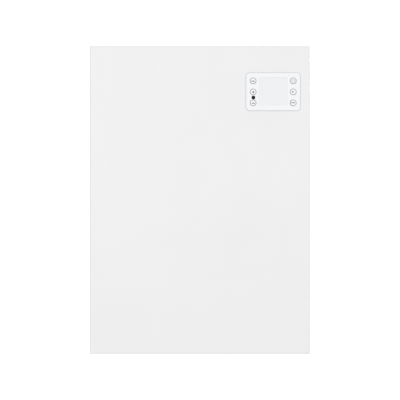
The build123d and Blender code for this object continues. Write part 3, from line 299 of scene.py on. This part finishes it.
def smoked_lens(name):
    """Near-black infrared window with a painted highlight: its colour turns pale in the middle, standing in for a
    reflection of the light.
    """
    g = Graph(name)
    split = g.add("ShaderNodeSeparateXYZ")
    g.link(g.coord, split.inputs["Vector"])
    across = g.times(split.outputs["X"], -LENS_X, "ADD")
    up = g.times(split.outputs["Z"], -LENS_Z, "ADD")
    away = g.times(g.times(g.times(across, across), g.times(up, up), "ADD"), 0.5, "POWER")
    cloud = g.noise(600.0, 2.0)
    smoke = g.ramp(cloud, (0.3, (0.0010, 0.0010, 0.0012)), (0.8, (0.0035, 0.0032, 0.0040)))
    # painted highlight: the smoke colour is mixed to a pale grey within about a millimetre of the lens's middle
    tone = g.mix(g.span(away, 0.8, 0.0, 0.0004, 0.0012), smoke, (0.085, 0.080, 0.088))
    return g.finish(tone, g.span(cloud, 0.14, 0.22), g.bump(g.noise(900.0, 2.0), 0.03, 0.00002), IOR=1.5,
                    Specular_IOR_Level=0.06)


def fin_metal(name):
    """Extruded aluminium: draw lines along the bar and a faint bloom of heat."""
    g = Graph(name)
    lines = g.noise(70.0, 5.0, 0.7, g.stretched((1, 45, 45)))
    bloom = g.noise(18.0, 3.0)
    cold = g.ramp(lines, (0.25, (0.58, 0.585, 0.59)), (0.75, (0.78, 0.785, 0.79)))
    tone = g.mix(g.span(bloom, 0.0, 0.35, 0.45, 0.75), cold, (0.62, 0.55, 0.45))
    return g.finish(tone, g.span(lines, 0.42, 0.26), g.bump(lines, 0.15, 0.00008), Metallic=1.0)


def component_mix(name):
    """Board components: dark moulded cases whose tone changes from one part to the next."""
    g = Graph(name)
    split = g.add("ShaderNodeSeparateXYZ")
    g.link(g.coord, split.inputs["Vector"])
    high = g.span(split.outputs["Z"], 0.0, 1.0, -0.0965, -0.0955)
    case = g.mix(high, (0.02, 0.02, 0.022), (0.42, 0.30, 0.06))
    top = g.span(split.outputs["Z"], 0.0, 1.0, -0.0605, -0.0595)
    case = g.mix(top, case, (0.75, 0.74, 0.70))
    grain = g.noise(900.0, 3.0)
    return g.finish(case, g.span(grain, 0.38, 0.5), g.bump(grain, 0.15, 0.00005), IOR=1.5)


def taped_coil(name):
    """Transformer: yellow tape over the winding, dark ferrite above and below it."""
    g = Graph(name)
    split = g.add("ShaderNodeSeparateXYZ")
    g.link(g.coord, split.inputs["Vector"])
    middle = g.times(g.times(split.outputs["Z"], 0.086, "ADD"), 0.0, "ADD")
    ferrite = g.span(g.times(middle, 0.0, "ADD"), 0.0, 1.0, -0.0062, -0.0058)
    ferrite_top = g.span(middle, 1.0, 0.0, 0.0058, 0.0062)
    core = g.times(ferrite, ferrite_top)
    wraps = g.noise(300.0, 3.0, 0.6, g.stretched((1, 1, 6)))
    tape = g.ramp(wraps, (0.3, (0.62, 0.46, 0.07)), (0.7, (0.78, 0.60, 0.12)))
    return g.finish(g.mix(core, tape, (0.03, 0.03, 0.033)), g.span(wraps, 0.35, 0.5),
                    g.bump(wraps, 0.25, 0.0001), IOR=1.5)


PANEL_WHITE = (0.800, 0.800, 0.800)
GASKET_GREY = (0.33, 0.328, 0.342)
KEYS_X, KEYS_DX, KEYS_Z, KEYS_PITCH = 0.1333, 0.03645, 0.1964, 0.020
RIM_FROM = 0.00493
LENS_X, LENS_Z = 0.0974, 0.1861
MATS = {
    "panel": powder_coat("powder_coat_panel", PANEL_WHITE, 0.40),
    "casing": powder_coat("powder_coat_casing", (0.765, 0.765, 0.757), 0.44, 1.3),
    "bezel": moulded("bezel_plastic", (0.845, 0.850, 0.865), 0.45, 0.12, 2400.0, 0.006),
    "key": key_cap("key_plastic", (0.846, 0.850, 0.862), (0.205, 0.202, 0.217)),
    "screen": screen_glass("screen_glass"),
    "lens": smoked_lens("smoked_lens"),
    "galvanised": galvanised("galvanised_sheet"),
    "bracket": galvanised("galvanised_bracket", (0.52, 0.535, 0.55), 170.0),
    "gasket": foam("gasket_foam"),
    "screw": zinc_screw("zinc_screw"),
    "latch": drawn_metal("latch_steel", (0.60, 0.61, 0.63), 0.34, (6, 6, 1), 260.0, 0.1),
    "reflector": drawn_metal("reflector_aluminium", (0.80, 0.805, 0.81), 0.16, (1, 30, 30), 50.0, 0.06),
    "fins": fin_metal("fin_aluminium"),
    "rod": drawn_metal("rod_steel", (0.55, 0.55, 0.55), 0.30, (1, 60, 60), 80.0),
    "ceramic": ceramic("ceramic_bush"),
    "board": circuit_board("circuit_board"),
    "rubber": rubber("buffer_rubber"),
    "black": moulded("black_plastic", (0.016, 0.016, 0.017), 0.42, 0.30, 1700.0, 0.12),
    "grey": moulded("grey_plastic", (0.34, 0.35, 0.36), 0.5, 0.22, 1700.0, 0.04),
    "white": moulded("white_plastic", (0.80, 0.80, 0.785), 0.46, 0.18, 1800.0, 0.012),
    "brass": drawn_metal("brass", (0.80, 0.60, 0.28), 0.26, (1, 1, 30), 120.0),
    "brown_lead": lead_jacket("brown_lead", (0.16, 0.065, 0.03)),
    "white_lead": lead_jacket("glass_sleeve", (0.74, 0.73, 0.70)),
    "earth_lead": lead_jacket("earth_lead", (0.10, 0.38, 0.06), (0.80, 0.68, 0.05)),
    "grey_lead": lead_jacket("grey_lead", (0.38, 0.385, 0.39)),
    "components": component_mix("board_parts"),
    "transformer": taped_coil("taped_transformer"),
    "print": moulded("symbol_print", (0.036, 0.035, 0.041), 0.55, 0.1, 2600.0, 0.03),
    "print_soft": moulded("symbol_print_grey", (0.080, 0.079, 0.088), 0.55, 0.1, 2600.0, 0.03),
    "print_pale": moulded("symbol_print_pale", (0.19, 0.188, 0.20), 0.55, 0.1, 2600.0, 0.03),
    "weld": zinc_screw("weld_zinc", (0.50, 0.51, 0.53)),
    "mark": moulded("switch_mark", (0.78, 0.78, 0.77), 0.5, 0.1, 2600.0, 0.02),
}
FINISH = {
    "panel": ["front_panel"],
    "casing": ["rear_casing", "outlet_frame", "outlet_blades", "inlet_grille"],
    "bezel": ["control_bezel"],
    "gasket": ["bezel_gasket"],
    "key": ["key_minus", "key_plus", "key_comfort", "key_power", "key_run", "key_menu"],
    "screen": ["display_window"],
    "lens": ["sensor_lens", "infrared_receiver"],
    "galvanised": ["panel_angles", "front_baffle", "partition", "element_brackets"],
    "bracket": ["bracket_rail_top", "bracket_rail_bottom", "bracket_straps"],
    "screw": ["panel_screws", "casing_screws", "element_screws", "module_screws",
              "board_screws", "terminal_screws", "element_terminals", "latch_rivet"],
    "latch": ["bracket_latch"],
    "reflector": ["reflector_plate"],
    "fins": ["heating_element"],
    "rod": ["element_rod"],
    "ceramic": ["element_bushes"],
    "board": ["power_board", "control_board"],
    "rubber": ["wall_buffers", "wire_grommet"],
    "black": ["thermal_cutout", "tact_switches", "mains_switch_body", "mains_rocker", "air_sensor"],
    "grey": ["terminal_block"],
    "white": ["display_panel", "control_housing", "cable_gland", "gland_nut", "sensor_pod"],
    "brass": ["board_standoffs", "switch_terminals"],
    "brown_lead": ["switch_leads"],
    "white_lead": ["element_leads"],
    "earth_lead": ["earth_lead"],
    "grey_lead": ["ribbon_cable", "sensor_lead"],
    "components": ["board_components"],
    "transformer": ["power_transformer"],
}
for finish, names in FINISH.items():
    for name in names:
        obj = NODES[name]
        if not obj.material_slots:
            obj.data.materials.append(MATS[finish])
        for material_slot in obj.material_slots:
            material_slot.link = "OBJECT"
            material_slot.material = MATS[finish]

# ------------------------------------------------------- printed key symbols
MM = 0.001
BEZEL_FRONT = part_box("control_bezel")[0].y
DISH_BALL = 42.654          # radius of the key's dished face, mm
DISH_LOW = 0.10             # how far the middle of the dish stands proud, mm


def key_face(x, z):
    """Depth of the key's dished face, mm behind the bezel's front plane (negative is proud)."""
    return -(DISH_LOW + DISH_BALL - math.sqrt(max(DISH_BALL**2 - x * x - z * z, 0.0)))


def printed(name, body, outlines, material, place, step=0.35, thick=0.03, lift=0.004):
    """Flat closed shapes, cut into small faces, laid on a surface and given a print's thickness.

    place(x, z, height) gives the point of the surface, in mm, that a point of the flat shape lies on.
    """
    mesh = bpy.data.meshes.new(name)
    bm = bmesh.new()
    for outline in outlines:
        loop = [bm.verts.new((x, 0.0, z)) for x, z in outline]
        bm.faces.new(loop)
    bmesh.ops.remove_doubles(bm, verts=bm.verts[:], dist=0.0005)
    bmesh.ops.triangulate(bm, faces=bm.faces[:])
    for _ in range(4):
        long_edges = [e for e in bm.edges if e.calc_length() > step]
        if not long_edges:
            break
        bmesh.ops.subdivide_edges(bm, edges=long_edges, cuts=1, use_grid_fill=True)
        bmesh.ops.triangulate(bm, faces=bm.faces[:])
    bmesh.ops.recalc_face_normals(bm, faces=bm.faces[:])
    top = bmesh.ops.extrude_face_region(bm, geom=bm.faces[:])
    raised = {v for v in top["geom"] if isinstance(v, bmesh.types.BMVert)}
    for v in bm.verts:
        v.co = Vector(place(v.co.x, v.co.z, lift + (thick if v in raised else 0.0))) * MM
    bmesh.ops.recalc_face_normals(bm, faces=bm.faces[:])
    bm.to_mesh(mesh)
    bm.free()
    piece = bpy.data.objects.new(name, mesh)
    scene.collection.objects.link(piece)
    mesh.materials.append(material)
    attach(piece, body)
    return piece


def bar(cx, cz, w, h, r=0.0):
    """Rectangle with rounded ends."""
    if r <= 0:
        return [(cx - w / 2, cz - h / 2), (cx + w / 2, cz - h / 2), (cx + w / 2, cz + h / 2), (cx - w / 2, cz + h / 2)]
    points = []
    for sx, sz, start in ((1, -1, -90), (1, 1, 0), (-1, 1, 90), (-1, -1, 180)):
        for k in range(5):
            a = math.radians(start + 90 * k / 4)
            points.append((cx + sx * (w / 2 - r) + r * math.cos(a), cz + sz * (h / 2 - r) + r * math.sin(a)))
    return points


def arc_band(r_in, r_out, start, end, steps=28):
    """Band of a ring between two angles, degrees counter-clockwise from +X."""
    angles = [math.radians(start + (end - start) * k / steps) for k in range(steps + 1)]
    return [(r_out * math.cos(a), r_out * math.sin(a)) for a in angles] + [
        (r_in * math.cos(a), r_in * math.sin(a)) for a in reversed(angles)
    ]


def centre_of(node):
    lo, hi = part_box(node)
    return ((lo.x + hi.x) / 2, (lo.z + hi.z) / 2)


def moved(outline, dx, dz):
    return [(x + dx, z + dz) for x, z in outline]


PLUS = [(-0.52, -2.6), (0.52, -2.6), (0.52, -0.52), (2.6, -0.52), (2.6, 0.52), (0.52, 0.52),
        (0.52, 2.6), (-0.52, 2.6), (-0.52, 0.52), (-2.6, 0.52), (-2.6, -0.52), (-0.52, -0.52)]
CHEVRON = [(-3.2, -1.05), (-2.5, -2.0), (0.0, -0.75), (2.5, -2.0), (3.2, -1.05), (0.0, 0.75)]
PLAY = [(-1.85, -1.65), (-1.85, 1.65), (1.45, 0.0)]
SYMBOLS = {
    "key_minus": ("symbol_minus", [bar(0.0, -0.6, 6.2, 1.4, 0.25)], "print"),
    "key_plus": ("symbol_plus", [moved(PLUS, 0.35, -0.4)], "print"),
    "key_comfort": ("symbol_up", [moved(CHEVRON, 0.4, 0.0)], "print"),
    "key_power": ("symbol_power", [arc_band(2.35, 2.95, 122, 418), bar(0, 2.2, 0.65, 2.6, 0.15)], "print_pale"),
    "key_run": ("symbol_play", [PLAY], "print"),
    "key_menu": ("symbol_menu", [bar(x, 0.15, 1.75, 1.75, 0.15) for x in (-2.5, -0.3, 1.9)], "print_soft"),
}
for key, (name, outlines, ink) in SYMBOLS.items():
    kx, kz = centre_of(key)
    printed(name, key, outlines, MATS[ink],
            lambda x, z, h, kx=kx, kz=kz: (kx / MM + x, BEZEL_FRONT / MM + key_face(x, z) - h, kz / MM + z))

# -------------------------------------------- on and off marks of the rocker
switch_lo, switch_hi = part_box("mains_switch_body")
ROCKER_TILT = math.radians(10.0)
ROCKER_X = switch_hi.x / MM - 3.6
SWITCH_Y = (switch_lo.y + switch_hi.y) / 2 / MM
SWITCH_Z = (switch_lo.z + switch_hi.z) / 2 / MM


def rocker_face(middle):
    """The rocker's face is a shallow V; a mark is centred this far above or below its crease."""
    def place(x, z, height):
        v = z + middle
        u = 3.0 + 2.9 * abs(v) / 13.0 + height
        c, s = math.cos(ROCKER_TILT), math.sin(ROCKER_TILT)
        return (ROCKER_X + u * c + v * s, SWITCH_Y + x, SWITCH_Z - u * s + v * c)
    return place


printed("mark_on", "rocker", [bar(0, 0, 0.85, 4.4, 0.2)], MATS["mark"], rocker_face(6.2))
printed("mark_off", "rocker", [arc_band(1.45, 2.15, -90, 90, 20), arc_band(1.45, 2.15, 90, 270, 20)],
        MATS["mark"], rocker_face(-6.2))


# ------------------------------- welds where the bracket's uprights meet its rails
def weld_beads(name, body, corners, y_from, y_to, leg=2.7, ripple=1.25):
    """Fillet beads run along Y in square corners; each is a rippled quarter-round, closed at both ends."""
    mesh = bpy.data.meshes.new(name)
    bm = bmesh.new()
    steps = int(abs(y_to - y_from) / 0.2)
    for number, (x0, z0, dx, dz) in enumerate(corners):
        rings = []
        for k in range(steps + 1):
            t = k / steps
            y = y_from + (y_to - y_from) * t
            end = min(1.0, 5.0 * t + 0.35, 5.0 * (1.0 - t) + 0.45)
            wave = abs(math.sin(math.pi * (y - y_from) / ripple + 0.7 * number))
            r = leg * end * (0.86 + 0.14 * wave) * (1.0 + 0.05 * math.sin(2.3 * y + number))
            ring = [(-0.3, -0.3)]
            for m in range(9):
                a = math.radians(90.0 * m / 8)
                bulge = r * (1.0 - 0.16 * math.sin(2 * a))
                ring.append((bulge * math.cos(a) - 0.12, bulge * math.sin(a) - 0.12))
            rings.append([bm.verts.new(((x0 + dx * p) * MM, y * MM, (z0 + dz * q) * MM)) for p, q in ring])
        for near, far in zip(rings, rings[1:]):
            for m in range(len(near)):
                n = (m + 1) % len(near)
                bm.faces.new((near[m], far[m], far[n], near[n]))
        bm.faces.new(rings[0])
        bm.faces.new(rings[-1])
    bmesh.ops.recalc_face_normals(bm, faces=bm.faces[:])
    for face in bm.faces:
        face.smooth = len(face.verts) == 4
    bm.to_mesh(mesh)
    bm.free()
    piece = bpy.data.objects.new(name, mesh)
    scene.collection.objects.link(piece)
    mesh.materials.append(MATS["weld"])
    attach(piece, body)
    return piece


strap_lo, strap_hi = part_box("bracket_straps")
STRAP_X, STRAP_W, STRAP_END = 70.0, 30.0, strap_hi.z / MM
corners = [
    (sx * STRAP_X + side * STRAP_W / 2, sz * STRAP_END, side, -sz)
    for sx in (-1, 1) for side in (-1, 1) for sz in (-1, 1)
]
weld_beads("weld_beads", "wall_bracket", corners, -0.6, -7.6)

# ------------------------------------------------------------- floor and light
FLOOR_Z, FLOOR_R = -0.62, 0.54
floor_mesh = bpy.data.meshes.new("floor")
fb = bmesh.new()
hub = fb.verts.new((0.0, 0.0, FLOOR_Z))
rings = []
for radius in (0.18, 0.36, FLOOR_R):
    rings.append([fb.verts.new((radius * math.cos(math.tau * k / 96), radius * math.sin(math.tau * k / 96), FLOOR_Z)) for k in range(96)])
for k in range(96):
    j = (k + 1) % 96
    fb.faces.new((hub, rings[0][k], rings[0][j]))
    for inner, outer in zip(rings, rings[1:]):
        fb.faces.new((inner[k], outer[k], outer[j], inner[j]))
fb.to_mesh(floor_mesh)
fb.free()
floor = bpy.data.objects.new("studio_floor", floor_mesh)
scene.collection.objects.link(floor)
g = Graph("studio_floor")
g.finish(g.ramp(g.noise(3.0, 2.0), (0.3, (0.93, 0.93, 0.93)), (0.7, (0.94, 0.94, 0.94))), 0.8,
         g.bump(g.noise(200.0, 3.0), 0.05, 0.0005), IOR=1.3)
reach = g.add("ShaderNodeVectorMath", operation="LENGTH")
flat = g.add("ShaderNodeMapping")
flat.inputs["Scale"].default_value = (1.0, 1.0, 0.0)
g.link(g.coord, flat.inputs["Vector"])
g.link(flat.outputs["Vector"], reach.inputs[0])
g.link(g.span(reach.outputs["Value"], 1.0, 0.0, 0.15, FLOOR_R - 0.02), g.bsdf.inputs["Alpha"])
floor_mesh.materials.append(g.mat)

world = bpy.data.worlds.new("studio")
scene.world = world
world.use_nodes = True
wt = world.node_tree
wt.nodes.clear()
w_out = wt.nodes.new("ShaderNodeOutputWorld")
w_light = wt.nodes.new("ShaderNodeBackground")
w_seen = wt.nodes.new("ShaderNodeBackground")
w_mix = wt.nodes.new("ShaderNodeMixShader")
w_path = wt.nodes.new("ShaderNodeLightPath")
w_light.inputs["Color"].default_value = (1.0, 1.0, 1.0, 1.0)
w_light.inputs["Strength"].default_value = 0.625
w_seen.inputs["Color"].default_value = (1.0, 1.0, 1.0, 1.0)
w_seen.inputs["Strength"].default_value = 1.05
wt.links.new(w_path.outputs["Is Camera Ray"], w_mix.inputs["Fac"])
wt.links.new(w_light.outputs["Background"], w_mix.inputs[1])
wt.links.new(w_seen.outputs["Background"], w_mix.inputs[2])
wt.links.new(w_mix.outputs["Shader"], w_out.inputs["Surface"])


def area_light(name, place, target, size, watts, tint=(1.0, 1.0, 1.0)):
    data = bpy.data.lights.new(name, "AREA")
    data.shape = "RECTANGLE"
    data.size, data.size_y = size
    data.energy = watts
    data.color = tint
    lamp = bpy.data.objects.new(name, data)
    scene.collection.objects.link(lamp)
    lamp.location = place
    lamp.rotation_mode = "QUATERNION"
    lamp.rotation_quaternion = (Vector(target) - Vector(place)).to_track_quat("-Z", "Y")
    return lamp


area_light("key_light", (-1.05, -3.4, 0.35), (0.0, -0.1, 0.0), (2.0, 2.0), 34.9)
area_light("fill_light", (1.75, -3.1, 0.45), (0.0, -0.1, 0.0), (2.4, 2.4), 28.4)
area_light("top_light", (0.0, 0.4, 2.6), (0.0, 0.0, 0.0), (1.8, 1.4), 8.0)
area_light("back_light", (1.6, 2.6, 1.2), (0.0, 0.0, 0.0), (1.6, 1.6), 40.0)

# ----------------------------------------------------------------- the camera
cam_data = bpy.data.cameras.new("camera")
cam_data.lens = 100.0
cam_data.sensor_width = 36.0
camera = bpy.data.objects.new("camera", cam_data)
scene.collection.objects.link(camera)
camera.location = (0.00036, -0.098 - 2.02, -0.0001)
camera.rotation_euler = (math.radians(90), 0.0, 0.0)
cam_data.clip_start, cam_data.clip_end = 0.05, 60.0
scene.camera = camera

scene.view_settings.view_transform = "Standard"
scene.view_settings.look = "None"
scene.view_settings.exposure = 0.0
scene.view_settings.gamma = 1.0
